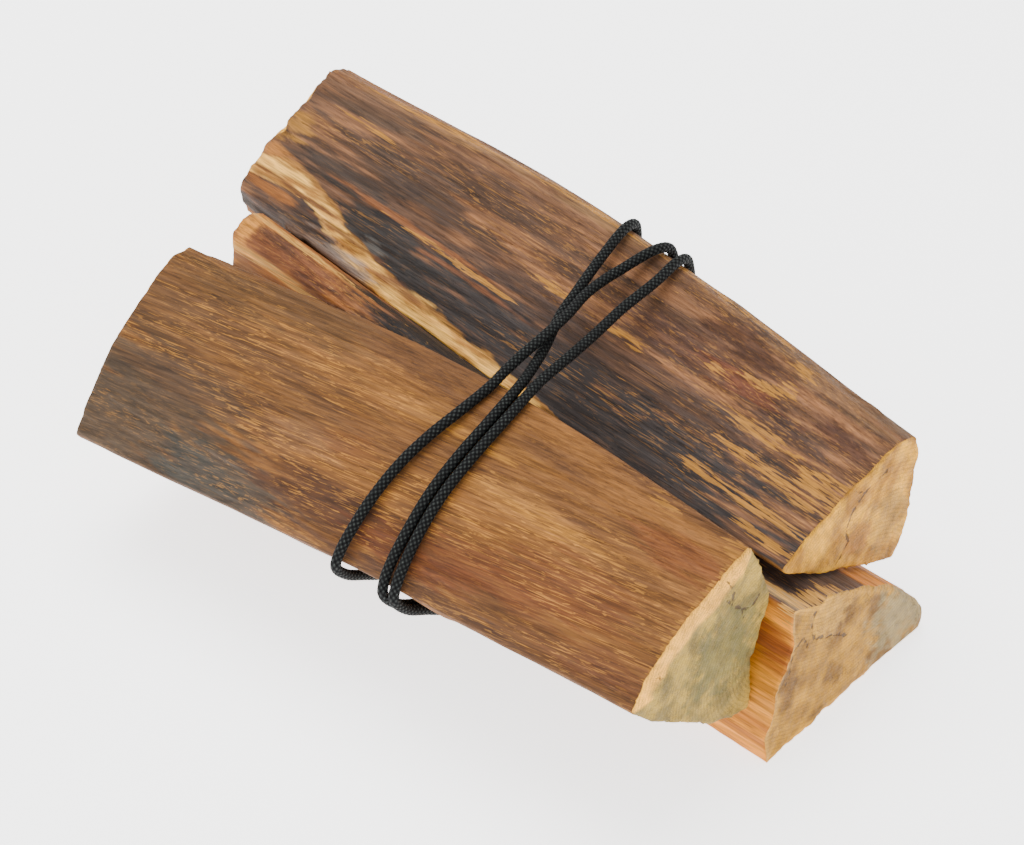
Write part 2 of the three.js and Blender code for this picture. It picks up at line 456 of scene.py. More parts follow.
def wear_marks(grid, distance, log):
    """How scuffed and how bare each point of the side is: scuffs are everywhere in streaks and
    thickest in the log's ovals, and bare wood is only in its ovals."""
    streaks = 0.15 + 0.85 * ramp(grain_noise(grid, 60.0, 11.0, log["seed"] + 80, 2), -0.1, 0.9)
    scuffs = raised_in(streaks, grid, distance, log["scuffed"], 0.9, 0.8, log["seed"] + 90, 0.5)
    bare = raised_in(streaks * 0, grid, distance, log["bare"], 1.0, 0.25, log["seed"] + 95, 0.6)
    return scuffs, bare


# %% A whole log
def make_log(name, log, relief, paint, end_paint):
    """Lofts the log, presses its relief in, tears its rims, closes its ends and stores what the
    finish reads. Relief and paint are functions of the side's points, the distance round it and
    the share of outside, and end_paint is one of an end's points and their depth from the rim."""
    grid, u, distance = loft(log)
    grid = grid - MIDDLE
    outside = outside_share(log, u)
    grid = press_relief(grid, relief(grid, distance, outside))
    tear_rims(grid, distance, log)
    far_cap, far_inset = cap_rings(grid[0], -1, log["seed"] + 60)
    near_cap, near_inset = cap_rings(grid[-1], 1, log["seed"] + 70)
    skin = np.concatenate([far_cap[::-1], grid, near_cap])
    poles = [far_cap[-1].mean(axis=0), near_cap[-1].mean(axis=0)]
    piece = closed_mesh(name + "_wood", skin, *poles)

    far_colour = end_paint(far_cap, far_inset, outside)
    near_colour = end_paint(near_cap, near_inset, outside)
    side_colour = paint(grid, distance, outside)
    colour = np.concatenate([far_colour[::-1], side_colour, near_colour]).reshape(-1, 3)
    store(piece, "tone", np.vstack([colour, colour[0], colour[-1]]))
    cut = np.ones(len(skin))
    cut[CAP_RINGS:-CAP_RINGS] = 0
    store(piece, "cut", np.append(np.repeat(cut, AROUND), [1, 1]))
    weathered = np.broadcast_to(outside, skin.shape[:2]).ravel()
    store(piece, "weathered", np.append(weathered, [0.5, 0.5]))
    for label, values in zip(["scuffed", "bare"], wear_marks(grid, distance, log)):
        whole = np.concatenate([far_inset * 0, values, near_inset * 0])
        store(piece, label, np.append(whole.ravel(), [0, 0]))
    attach(piece, "root")
    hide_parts(name)
    return piece


# %% [markdown]
# ## The front log
#
# This log shows its weathered outside: golden brown, with long shallow ridges. Its lower end is
# greyer where it lay on the ground, and it turns to a warm orange-brown towards the sawn end.
# The end itself is cream under the outside and grey-green at the heart.

# %% Front log
def front_relief(grid, distance, outside):
    """Long waves, fibre ridges and shallow checks, pressed in from the smooth shape and standing
    out of it by 0.1 mm at most."""
    waves = 0.5 * grain_noise(grid, 90.0, 16.0, 3, 2)
    ridges = 0.26 * grain_noise(grid, 34.0, 2.6, 7, 2)
    checks = -0.7 * ramp(grain_noise(grid, 60.0, 3.4, 11, 2), 0.62, 0.95)
    return np.minimum(waves + ridges + checks - 0.45, 0.1)


FRONT_PATCHES = [
    ((-120, 84), (56, 34), tint(88, 74, 56), 0.85),
    ((-126, 26), (30, 18), tint(112, 78, 42), 0.7),
    ((-60, 91), (38, 14), tint(80, 78, 70), 0.85),
    ((-96, 60), (34, 9), tint(88, 66, 48), 0.7),
    ((-80, 12), (50, 12), tint(124, 90, 44), 0.6),
    ((-30, 60), (20, 7), tint(168, 130, 96), 0.45),
    ((-12, 54), (15, 5), tint(160, 110, 58), 0.6),
    ((-80, 44), (60, 22), tint(122, 88, 50), 0.45),
    ((-4, 80), (40, 10), tint(86, 50, 24), 0.75),
    ((42, 84), (34, 9), tint(132, 74, 32), 0.6),
    ((80, 74), (44, 8), tint(138, 82, 34), 0.6),
    ((60, 98), (70, 8), tint(104, 74, 54), 0.75),
    ((88, 42), (38, 6), tint(200, 156, 92), 0.5),
    ((34, 26), (44, 8), tint(176, 132, 68), 0.5),
    ((118, 62), (34, 14), tint(146, 92, 44), 0.6),
    ((150, 22), (22, 9), tint(160, 104, 50), 0.7),
    ((150, 84), (30, 9), tint(132, 84, 50), 0.6),
]


def front_paint(grid, distance, outside):
    """Golden brown with patches laid over it in turn, and tan on the split faces."""
    colour = mottle(grid, 70.0, 9.0, 21, tint(134, 92, 46), tint(172, 126, 66))
    for n, (place, size, new_colour, strength) in enumerate(FRONT_PATCHES):
        colour = patch(colour, grid, distance, place, size, new_colour, strength, 0.7, 30 + n)
    fresh = mottle(grid, 60.0, 5.0, 61, tint(126, 92, 62), tint(164, 122, 82))
    split = (1 - outside)[None, :, None]
    return colour * (1 - split) + fresh * split


def front_end_paint(points, inset, outside):
    """Grey-green wood, with a cream band under the weathered outside."""
    colour = mottle(points, 4.0, 9.0, 71, tint(174, 154, 92), tint(212, 188, 110))
    colour = spot(colour, points, (-44, 72), 22, tint(158, 150, 96), 0.7, 75)
    depth = inset + 3.0 * grain_noise(points, 4.0, 7.0, 73)
    cream = (outside * (1 - ramp(depth, 9, 14)))[..., None]
    return colour * (1 - cream) + tint(244, 206, 120) * cream


front_log = make_log("front_log", FRONT_LOG, front_relief, front_paint, front_end_paint)

# %% [markdown]
# ## The back log
#
# The darkest of the three. A charcoal band runs along its front, fresh tan wood shows in torn
# streaks near the sawn end, and at the other end a cream seam of sapwood sweeps up and round a
# dark hollow, where a branch once grew.

# %% Back log
def back_relief(grid, distance, outside):
    """Coarser waves and ridges than the front log's, a step down beside the cream seam, the
    hollow of the old branch, and a split in the far rim."""
    x = grid[..., 0]
    waves = 0.8 * grain_noise(grid, 80.0, 15.0, 103, 2)
    ridges = 0.4 * grain_noise(grid, 30.0, 3.2, 107, 2) * (0.4 + 0.6 * ramp(-x, -60, 60))
    checks = -0.9 * ramp(grain_noise(grid, 46.0, 3.6, 111, 2), 0.6, 0.95)
    hollow = -3.2 * np.exp(-(((x + 162) / 15) ** 2) - ((distance[None, :] - 101) / 7) ** 2)
    notch = -3.0 * np.exp(-(((x + 184) / 7) ** 2) - ((distance[None, :] - 57) / 3.2) ** 2)
    seam = np.interp(x, [-182, -150, -117, -74, -40, 20], [74, 71, 82, 88, 92, 96])
    step = -0.9 * ramp(distance[None, :] - seam, 2, 5) * ramp(-x, 20, 60)
    return np.minimum(waves + ridges + checks + hollow + notch + step - 0.7, 0.1)


BACK_PATCHES = [
    ((20, 82), (176, 19), tint(66, 55, 51), 1.0),
    ((-100, 74), (46, 12), tint(56, 50, 47), 0.95),
    ((-112, 40), (60, 8), tint(74, 58, 47), 0.75),
    ((-140, 56), (36, 6), tint(70, 56, 46), 0.8),
    ((-70, 44), (44, 4), tint(80, 58, 44), 0.75),
    ((-60, 26), (50, 5), tint(92, 64, 42), 0.75),
    ((-110, 10), (50, 4), tint(190, 154, 112), 0.5),
    ((-20, 8), (60, 4), tint(182, 148, 104), 0.5),
    ((-150, 20), (34, 8), tint(112, 88, 68), 0.6),
    ((40, 56), (90, 10), tint(84, 64, 54), 0.75),
    ((60, 34), (40, 6), tint(98, 62, 46), 0.6),
    ((86, 20), (30, 7), tint(88, 52, 28), 0.85),
    ((30, 12), (30, 5), tint(104, 72, 46), 0.7),
    ((150, 28), (17, 6), tint(92, 56, 38), 0.85),
    ((124, 8), (44, 7), tint(150, 118, 86), 0.7),
    ((96, 34), (22, 5), tint(150, 92, 58), 0.6),
    ((124, 38), (22, 4), tint(80, 60, 52), 0.8),
    ((-102, 77), (5, 2.0), tint(128, 124, 118), 0.7),
    ((-92, 60), (42, 1.5), tint(178, 126, 80), 0.8),
    ((-50, 66), (30, 1.2), tint(168, 118, 80), 0.7),
    ((-176, 50), (7, 7), tint(196, 156, 88), 0.8),
    ((-176, 64), (8, 4), tint(196, 148, 84), 0.9),
]
SEAM = (
    [-182, -168, -150, -133, -117, -95, -74, -40, 0, 30, 60],
    [76, 72, 72, 77, 83, 87, 89, 90, 92, 94, 96],
)
SEAM_PATCHES = [
    ((-152, 76), (26, 1.3), tint(132, 88, 52), 0.8, 0.8, 178),
    ((-120, 80), (18, 1.2), tint(140, 96, 60), 0.7, 0.8, 179),
    ((-78, 85), (16, 2.0), tint(150, 106, 72), 0.7, 0.9, 176),
    ((-122, 92), (24, 6), tint(176, 160, 148), 0.85, 0.9, 173),
    ((-136, 89), (22, 2), tint(96, 76, 64), 0.8, 0.9, 181),
    ((-166, 84), (18, 3.5), tint(178, 126, 66), 0.9, 0.7, 175),
    ((-162, 101), (26, 11), tint(56, 42, 36), 0.95, 0.4, 174),
]


def back_paint(grid, distance, outside):
    """Brown with patches and streaks, then the seam with its orange edge, and the hollow."""
    colour = mottle(grid, 50.0, 4.5, 121, tint(108, 78, 56), tint(172, 130, 94))
    colour = colour * (1 + 0.32 * grain_noise(grid, 26.0, 1.7, 119, 2))[..., None]
    for n, (place, size, new_colour, strength) in enumerate(BACK_PATCHES):
        colour = patch(colour, grid, distance, place, size, new_colour, strength, 0.8, 130 + n)
    fresh = mottle(grid, 60.0, 5.0, 161, tint(170, 120, 70), tint(200, 156, 98))
    split = (1 - outside)[None, :, None]
    colour = colour * (1 - split) + fresh * split
    edge_line = (SEAM[0], [d - 3.5 for d in SEAM[1]])
    edge_width = ([-182, -150, -90, -20, 30], [3.5, 3.2, 2.6, 2.2, 1.2])
    colour = band(colour, grid, distance, edge_line, edge_width, tint(186, 144, 80), 0.9, 0.6, 171)
    seam_width = ([-182, -150, -117, -74, -20, 30, 60], [6.0, 4.5, 4.6, 5.5, 5.0, 3.0, 1.5])
    sapwood = mottle(grid, 16.0, 2.2, 177, tint(196, 152, 88), tint(236, 204, 138))
    colour = band(colour, grid, distance, SEAM, seam_width, sapwood, 0.95, 0.5, 172)
    for place, size, new_colour, *how in SEAM_PATCHES:
        colour = patch(colour, grid, distance, place, size, new_colour, *how)
    return colour


def back_end_paint(points, inset, outside):
    """Pale yellow ochre, a little browner in clouds."""
    colour = mottle(points, 4.0, 9.0, 181, tint(202, 158, 60), tint(236, 198, 92))
    colour = spot(colour, points, (72, 66), 15, tint(204, 172, 100), 0.6, 183)
    return spot(colour, points, (52, 70), 9, tint(196, 148, 78), 0.7, 184)


back_log = make_log("back_log", BACK_LOG, back_relief, back_paint, back_end_paint)

# %% [markdown]
# ## The bottom log
#
# It carries the other two. Little of its outside is left, a grey strip along the top. The big
# split faces are fresh orange wood, and its sawn end still has the arcs of the saw. In the
# middle, where its top shows between the other two logs, it is painted dark brown as shadow.

# %% Bottom log
def bottom_relief(grid, distance, outside):
    """Straight fibre ridges on the split faces, with long waves under them."""
    waves = 0.5 * grain_noise(grid, 110.0, 14.0, 203, 2)
    fibres = 0.24 * grain_noise(grid, 60.0, 1.9, 207, 2)
    return np.minimum(waves + fibres - 0.4, 0.1)


BOTTOM_PATCHES = [
    ((170, 74), (18, 8), tint(172, 104, 46), 0.85),
    ((170, 104), (40, 12), tint(222, 176, 76), 0.6),
    ((150, 20), (60, 14), tint(106, 86, 76), 0.8),
    ((164, 45), (30, 4), tint(214, 190, 150), 0.8),
    ((158, 36), (16, 5), tint(84, 68, 62), 0.85),
    ((-112, 36), (52, 30), tint(186, 134, 78), 1.0),
    ((-118, 44), (34, 9), tint(144, 94, 62), 0.8),
    ((-130, 40), (12, 3), tint(98, 62, 40), 0.7),
    ((-104, 50), (10, 3), tint(112, 70, 46), 0.7),
    ((-120, 57), (60, 2.6), tint(232, 190, 118), 0.9),
    ((-124, 33), (36, 2.6), tint(226, 184, 116), 0.9),
    ((-146, 44), (4, 16), tint(222, 176, 102), 0.8),
    ((-125, 70), (60, 8), tint(150, 108, 70), 0.9),
    # Painted shadow, not a stain: the middle of the top, seen between the front and back logs, is dark
    # brown for the shade in that gap.
    ((0, 34), (84, 34), tint(44, 34, 29), 1.0),
]


def bottom_paint(grid, distance, outside):
    """Orange split faces and a grey-mauve outside, with stains laid over them, and painted shadow
    in the middle of the top, where it shows between the other two logs.
    """
    fresh = mottle(grid, 80.0, 4.0, 221, tint(204, 148, 58), tint(230, 180, 80))
    grey = mottle(grid, 40.0, 4.0, 222, tint(112, 92, 82), tint(150, 126, 112))
    old = outside[None, :, None]
    colour = fresh * (1 - old) + grey * old
    for n, (place, size, new_colour, strength) in enumerate(BOTTOM_PATCHES):
        colour = patch(colour, grid, distance, place, size, new_colour, strength, 0.5, 230 + n)
    return colour


def bottom_end_paint(points, inset, outside):
    """Ochre-tan, paler at the rim, with grey mould at the outer corner."""
    colour = mottle(points, 4.0, 10.0, 281, tint(170, 130, 44), tint(216, 178, 70))
    colour = spot(colour, points, (16, 58), 13, tint(226, 192, 110), 0.7, 284)
    rim = (0.6 * (1 - ramp(inset, 1.5, 5)))[..., None]
    colour = colour * (1 - rim) + tint(234, 198, 116) * rim
    return spot(colour, points, (72, 24), 24, tint(196, 180, 140), 0.85, 283)


bottom_log = make_log("bottom_log", BOTTOM_LOG, bottom_relief, bottom_paint, bottom_end_paint)

# %% [markdown]
# ## A maker's kit for finishes
#
# A finish is a small network of nodes: where the point is, patterns made from that, and the
# shader that they feed. Writing every node out would hide the recipe, so a few short methods
# stand for the steps that come again and again.

# %% Steps of a finish
class Finish:
    """A material whose patterns come from the object's own coordinates in mm."""

    def __init__(self, name, grain_turn=(0.0, 0.0, 0.0)):
        self.material = bpy.data.materials.new(name)
        self.material.use_nodes = True
        self.tree = self.material.node_tree
        self.shader = self.tree.nodes["Principled BSDF"]
        place = self.step("ShaderNodeTexCoord", {}).outputs["Object"]
        turned = {"Vector": place, "Rotation": grain_turn, "Scale": (1000, 1000, 1000)}
        self.place = self.step("ShaderNodeMapping", turned).outputs["Vector"]

    def step(self, kind, inputs, **settings):
        """Adds a node with these settings, and sets or links each of its inputs."""
        node = self.tree.nodes.new(kind)
        for key, value in settings.items():
            setattr(node, key, value)
        for key, value in inputs.items():
            if isinstance(value, bpy.types.NodeSocket):
                self.tree.links.new(value, node.inputs[key])
            else:
                node.inputs[key].default_value = value
        return node

    def attribute(self, name, output="Fac"):
        """What store() kept under that name."""
        return self.step("ShaderNodeAttribute", {}, attribute_name=name).outputs[output]

    def mapped(self, settings):
        """The point in mm, moved and scaled by these Mapping settings."""
        return self.step("ShaderNodeMapping", {"Vector": self.place, **settings}).outputs["Vector"]

    def noise(self, along, across, start=0.0, layers=3.0, swirl=0.0):
        """Noise from 0 to 1, `along` mm long and `across` mm wide, begun at its own place."""
        scale = (1 / along, 1 / across, 1 / across)
        drawn = self.mapped({"Location": (start,) * 3, "Scale": scale})
        inputs = {"Vector": drawn, "Scale": 1.0, "Detail": layers, "Distortion": swirl}
        return self.step("ShaderNodeTexNoise", inputs).outputs["Fac"]

    def rings(self, settings, scale, distortion, detail_scale):
        """Waves in rings round the X axis of the point moved by these Mapping settings."""
        inputs = {
            "Vector": self.mapped({"Scale": (0.0, 1.0, 1.0), **settings}),
            "Scale": scale,
            "Distortion": distortion,
            "Detail": 2.0,
            "Detail Scale": detail_scale,
        }
        node = self.step("ShaderNodeTexWave", inputs, wave_type="RINGS", rings_direction="X")
        return node.outputs["Fac"]

    def vector(self, operation, first, second, output="Vector"):
        """A sum on two vectors, as a vector or, for a length or a dot product, a number."""
        inputs = {0: first, 1: second}
        return self.step("ShaderNodeVectorMath", inputs, operation=operation).outputs[output]

    def times(self, first, *others):
        """All the numbers multiplied."""
        for other in others:
            first = self.calc("MULTIPLY", first, other)
        return first

    def calc(self, operation, first, second=0.0):
        """A sum on one or two numbers."""
        return self.step("ShaderNodeMath", {0: first, 1: second}, operation=operation).outputs[0]

    def window(self, value, low, high, bottom=0.0, top=1.0):
        """bottom where value is below low, top where it is above high, and smooth between."""
        inputs = {"Value": value, "From Min": low, "From Max": high, "To Min": bottom, "To Max": top}
        return self.step("ShaderNodeMapRange", inputs, interpolation_type="SMOOTHSTEP").outputs["Result"]

    def blend(self, amount, first, second):
        """first where amount is 0 and second where it is 1."""
        node = self.step("ShaderNodeMix", {0: amount, 6: first, 7: second}, data_type="RGBA")
        return node.outputs[2]

    def brighten(self, colour, factor):
        """The colour times a number that varies over the surface."""
        node = self.step("ShaderNodeVectorMath", {0: colour}, operation="SCALE")
        self.tree.links.new(factor, node.inputs["Scale"])
        return node.outputs["Vector"]

    def connect(self, **inputs):
        """Links patterns to the shader's sockets, with _ for a space in their names."""
        for name, socket in inputs.items():
            self.tree.links.new(socket, self.shader.inputs[name.replace("_", " ")])


# %% [markdown]
# ## The finish of the wood
#
# Four things show on old split wood at arm's length. Fibres make light and dark streaks a few
# millimetres wide. Knocks and dragging leave fine pale scratches. Where the old skin is torn off,
# fresh wood shows in shreds. Sawn ends have none of that, but speckle, faint saw arcs, growth
# rings and small cracks. One recipe makes them all, and each log has its own numbers for it.

# %% A line of cracks
def rgba(colour):
    """A colour with its fourth number, which a colour socket needs."""
    return (*[float(v) for v in colour], 1.0)


def from_crack(f, corners):
    """Distance in mm from a line through corners, each (y, z): the least of the distances from its
    straight pieces, each found by dropping the point onto the piece and clamping it to its ends."""
    flat = f.mapped({"Scale": (0.0, 1.0, 1.0)})
    nearest = None
    for (y, z), (next_y, next_z) in zip(corners, corners[1:]):
        piece = np.array([0.0, next_y - y, next_z - z])
        offset = f.vector("SUBTRACT", flat, (0, y, z))
        share = f.vector("DOT_PRODUCT", offset, tuple(piece / (piece @ piece)), "Value")
        share = f.step("ShaderNodeClamp", {"Value": share}).outputs["Result"]
        foot = f.brighten(tuple(piece), share)
        off = f.vector("DISTANCE", offset, foot, "Value")
        nearest = off if nearest is None else f.calc("MINIMUM", nearest, off)
    return nearest


# %% The side of a log
PALE = tint(220, 178, 104)


def side_finish(f, look, tone):
    """The tone times two widths of streak, darkened in the pores, replaced by shreds of bare wood
    and crossed by pale scratches. Also returns its height and its broad streaks."""
    start = look["start"]
    broad = f.noise(48, 2.6, start, 4.0, 0.4)
    fine = f.noise(20, 0.62, start + 7, 3.0, 0.5)
    streaks = f.calc("ADD", f.window(broad, 0.3, 0.7, 0.5, 0.95), f.window(fine, 0.3, 0.72, 0.0, 0.55))
    side = f.brighten(tone, streaks)
    pores = f.window(f.noise(14, 0.5, start + 13, 2.0, 0.3), 0.60, 0.72, 0.0, 0.62)
    side = f.blend(pores, side, f.brighten(side, f.window(broad, 0.2, 0.8, 0.3, 0.5)))

    torn = f.calc("ADD", f.noise(24, 1.15, start + 51, 4.0, 0.3), f.times(f.attribute("bare"), 0.27))
    bare = f.window(torn, 0.70, 0.74, 0.0, 0.92)
    side = f.blend(bare, side, f.brighten(tuple(look["bare"]), f.window(fine, 0.25, 0.7, 0.5, 1.15)))

    hair = f.window(f.noise(17, 0.5, start + 21, 2.0, 0.35), 0.57, 0.66)
    flake = f.window(f.noise(7, 1.1, start + 24, 3.0, 0.5), 0.6, 0.68)
    on_outside = f.window(f.attribute("weathered"), 0.2, 0.8, 0.35, 1.0)
    marks = f.calc("MAXIMUM", hair, f.times(flake, 0.8))
    marks = f.times(marks, f.times(f.attribute("scuffed"), on_outside), look["scratches"])
    lighter = f.blend(0.6, f.brighten(tone, f.window(broad, 0.2, 0.8, 1.6, 2.4)), rgba(PALE))
    side = f.blend(marks, side, lighter)

    height = f.calc("ADD", f.times(broad, 0.5), f.times(fine, 0.45))
    return side, f.calc("SUBTRACT", height, f.times(pores, 0.3)), broad


# %% The cut end of a log
SAW_CENTRE = (-260, 140)
CRACK_BROWN = tint(92, 66, 38)


def end_finish(f, look, tone):
    """The tone times speckle and cloud, with darker growth rings round the heart, faint arcs round
    a far centre and brown cracks: small ones in places, and the look's own. Also returns its height."""
    start = look["start"]
    speckle = f.noise(1.4, 0.5, start + 31, 4.0)
    cloud = f.noise(8, 6, start + 33, 4.0, 0.6)
    clouds = f.window(cloud, 0.25, 0.75, 0.48, 0.86)
    end = f.brighten(tone, f.calc("ADD", f.window(speckle, 0.3, 0.7, 0.0, 0.42), clouds))

    heart_y, heart_z = look["heart"]
    growth = f.rings({"Location": (0, -heart_y, -heart_z)}, 0.16, 3.0, 0.2)
    late_wood = f.brighten(end, f.window(cloud, 0, 1, 0.55, 0.7))
    end = f.blend(f.window(growth, 0.55, 0.95, 0.0, 0.5), end, late_wood)
    arcs = f.rings({"Location": (0, -SAW_CENTRE[0], -SAW_CENTRE[1])}, 0.33, 1.2, 0.15)
    shown = f.window(f.noise(30, 12, start + 41, 1.0), 0.42, 0.6, 0.0, 0.5)
    end = f.blend(f.times(arcs, shown), end, f.brighten(end, f.window(cloud, 0, 1, 0.5, 0.6)))

    cells = f.step(
        "ShaderNodeTexVoronoi",
        {"Vector": f.mapped({"Scale": (0.02, 0.11, 0.07)})},
        feature="DISTANCE_TO_EDGE",
    ).outputs["Distance"]
    from_cell_edge = f.calc("ADD", cells, f.window(speckle, 0.2, 0.8, -0.03, 0.03))
    in_places = f.window(f.noise(30, 10, start + 47, 1.0), 0.52, 0.64)
    crack = f.times(f.window(from_cell_edge, 0.0, 0.022, 0.75, 0.0), in_places)
    wobble = f.window(f.noise(5, 3.2, start + 61, 3.0), 0.25, 0.75, -1.0, 1.2)
    for corners in look["cracks"]:
        off = f.calc("ADD", from_crack(f, corners), wobble)
        crack = f.calc("MAXIMUM", crack, f.window(off, 0.05, 0.75, 0.8, 0.0))
    end = f.blend(crack, end, rgba(CRACK_BROWN))

    height = f.calc("ADD", f.times(speckle, 0.35), f.times(arcs, 0.08))
    return end, f.calc("SUBTRACT", height, crack)


# %% Both together
BUMP_DEPTH = 0.0012
WOOD_SHINE = 0.32


def wood_finish(name, look):
    """The side's finish where the wood is split and the end's where it is sawn, with the bumps of
    each. Broad light streaks are a little smoother than dark ones."""
    f = Finish(name, look["grain_turn"])
    tone = f.attribute("tone", "Color")
    cut = f.attribute("cut")
    side, side_height, broad = side_finish(f, look, tone)
    end, end_height = end_finish(f, look, tone)
    height = f.step("ShaderNodeMix", {0: cut, 2: side_height, 3: end_height}).outputs[0]
    bump = f.step("ShaderNodeBump", {"Strength": 0.75, "Distance": BUMP_DEPTH, "Height": height})
    rough = f.window(broad, 0.3, 0.7, 0.86, 0.66)
    f.connect(Base_Color=f.blend(cut, side, end), Normal=bump.outputs["Normal"], Roughness=rough)
    f.shader.inputs["Specular IOR Level"].default_value = WOOD_SHINE
    return f.material


# %% Each log's own numbers: the heart and the cracks are (y, z) in mm
GOLDEN_WOOD = {
    "grain_turn": (0, 0.07, -0.1),
    "scratches": 0.85,
    "bare": tint(200, 156, 82),
    "heart": (-30, 40),
    "cracks": [
        [(-62, 90), (-50, 77), (-44, 74), (-39, 77)],
        [(-60, 99), (-56, 92), (-57, 84)],
        [(-50, 76), (-47, 66)],
    ],
    "start": 2.0,
}
CHARCOAL_WOOD = {
    "grain_turn": (0, 0.03, 0.09),
    "scratches": 0.55,
    "bare": tint(206, 164, 92),
    "heart": (70, 20),
    "cracks": [
        [(85, 90), (70, 87), (62, 82), (58, 72), (60, 66), (52, 58)],
        [(70, 87), (64, 92)],
    ],
    "start": 31.0,
}
ORANGE_WOOD = {
    "grain_turn": (0, 0, 0.02),
    "scratches": 0.5,
    "bare": tint(224, 190, 128),
    "heart": (40, 120),
    "cracks": [
        [(-12, 60), (-7, 54), (2, 57), (6, 48), (9, 51), (22, 44), (33, 36)],
        [(9, 51), (7, 60), (9, 66)],
        [(-7, 54), (-6, 46), (-9, 38)],
    ],
    "start": 57.0,
}
front_log.data.materials.append(wood_finish("golden_wood", GOLDEN_WOOD))
back_log.data.materials.append(wood_finish("charcoal_wood", CHARCOAL_WOOD))
bottom_log.data.materials.append(wood_finish("orange_wood", ORANGE_WOOD))
finished = [front_log, back_log, bottom_log]
print("wood finishes:", [log.data.materials[0].name for log in finished])

# %% [markdown]
# ## The way the cord goes
#
# The cord is stretched tight over the logs' edges, so it is never free: it leaves the knot on
# the back, goes three times round and comes back to the knot. It could be a bevelled curve, but
# a curve can't carry a braid in its shape. So the same route points as in the CAD model are
# joined by a smooth line, and a profile is carried along it.

# %% Route points in mm: each turn starts at the back, crosses the top and returns underneath
FIRST_TURN = [
    [3, 104, 66], [0, 106.6, 84], [-2, 108.8, 102], [-2, 109, 111.5], [-1.6, 107, 118],
    [0, 99, 121.9], [5, 77, 122], [12.5, 50, 121.7], [17, 34, 121], [25, 15, 120],
    [31, 0, 121.5], [35.5, -12, 123.4], [39.5, -28, 124.4], [41.3, -44, 122], [41, -58, 116.9],
    [40.5, -76, 107.7], [41, -92, 96.2], [41, -103.3, 84.2], [41.5, -107.6, 78], [42.2, -109, 73],
    [43.2, -102, 63], [43.7, -89, 53.8], [44, -62, 34.5], [44.3, -46, 23.3], [44.5, -30, 11.3],
    [44.5, -19.6, 4.1], [44.3, -4, 3.9], [44, 40, 3.9], [43.2, 86, 3.9], [42.8, 94, 3.8],
    [42.5, 97.6, 6.6], [42.2, 98.6, 12], [41.5, 98.8, 30],
]
SECOND_TURN = [
    [38.3, 102.2, 61], [33.8, 105.5, 85], [31, 107.2, 100], [29.8, 107.1, 110], [30, 104.7, 116.3],
    [31.2, 96, 120.2], [33.2, 80, 120.8], [34.5, 55, 121.4], [37.2, 34, 122.1], [39.3, 14, 122.9],
    [41, -6, 123.6], [43.5, -19, 124.2], [45.6, -30, 124.2], [46.9, -44, 122], [46.7, -58, 116.9],
    [46.1, -76, 107.7], [46.7, -92, 96.2], [47.4, -103.3, 84.2], [47.9, -107.6, 78], [48.3, -108.8, 73],
    [48.8, -101.6, 62.8], [49.3, -88, 53.3], [49.7, -62, 34.5], [50, -46, 23.3], [50, -30, 11.3],
    [50, -19.6, 4], [49.8, -4, 3.8], [49.4, 40, 3.8], [48.6, 86, 3.8], [48.1, 94, 3.7],
    [47.9, 97.6, 6.6], [47.5, 99.6, 13], [45.4, 103, 23], [40.5, 104.6, 36],
]
THIRD_TURN = [
    [33, 105.2, 60], [27, 106.9, 84], [21.7, 107.6, 103], [20.2, 107.5, 111.5], [19.7, 105, 117],
    [19.3, 96, 121.3], [17.4, 76, 122], [16.6, 62, 122.4], [17.7, 50, 123.3], [21.6, 34, 124.7],
    [24.8, 15, 126.3], [25.2, 0, 125.4], [26.2, -13, 124.7], [27.6, -24, 124.3], [27.3, -42, 122.7],
    [23.8, -57, 117.4], [20.5, -72, 110], [18.2, -87, 100], [16.6, -99, 88.7], [15.6, -106.3, 79.5],
    [15.4, -109.2, 72.8], [15, -102.8, 63.3], [14.6, -89, 53], [14, -62, 34.2], [14, -46, 23.2],
    [14, -30, 11.4], [14, -19, 4.4], [13.7, -4, 4.1], [13, 40, 4.1], [11.5, 86, 4.1],
    [10.6, 94.5, 4.2], [9, 98, 8.2],
]

# %% The reef knot: one half from its standing part to its tail, as [across, outward, along]
KNOT_MIDDLE = np.array([7, 102.8, 37])
KNOT_HALF = [
    [-2.8, -1.5, 19], [-2.7, -3.2, 13], [-3.8, 0, 6.5], [-6.6, 3.2, 0], [-9.4, 0, -6.5],
    [-10.2, -3, -12.5], [-7, -3.6, -17.5], [0, -3.8, -19.4], [7, -3.6, -17.5], [10.2, -3, -12.5],
    [9.4, 0, -6.5], [6.6, 3.2, 0], [3.8, 0, 6.5], [2.7, -3.2, 13], [3, -1, 19],
]
UPPER_TAIL = [[6, 1.5, 25], [12, 4.5, 28], [18, 5.5, 25.5], [22, 5.5, 19]]
LOWER_TAIL = [[5.5, 2.5, -23], [10, 3, -27], [16, 3, -29], [23, 3, -29.5]]
upper_half = np.array(KNOT_HALF + UPPER_TAIL)[::-1] + KNOT_MIDDLE
lower_half = np.vstack([np.array(KNOT_HALF) * [1, -1, -1], LOWER_TAIL]) + KNOT_MIDDLE
route_points = np.vstack([upper_half, FIRST_TURN, SECOND_TURN, THIRD_TURN, lower_half]) - MIDDLE
print("the cord's route has", len(route_points), "points")

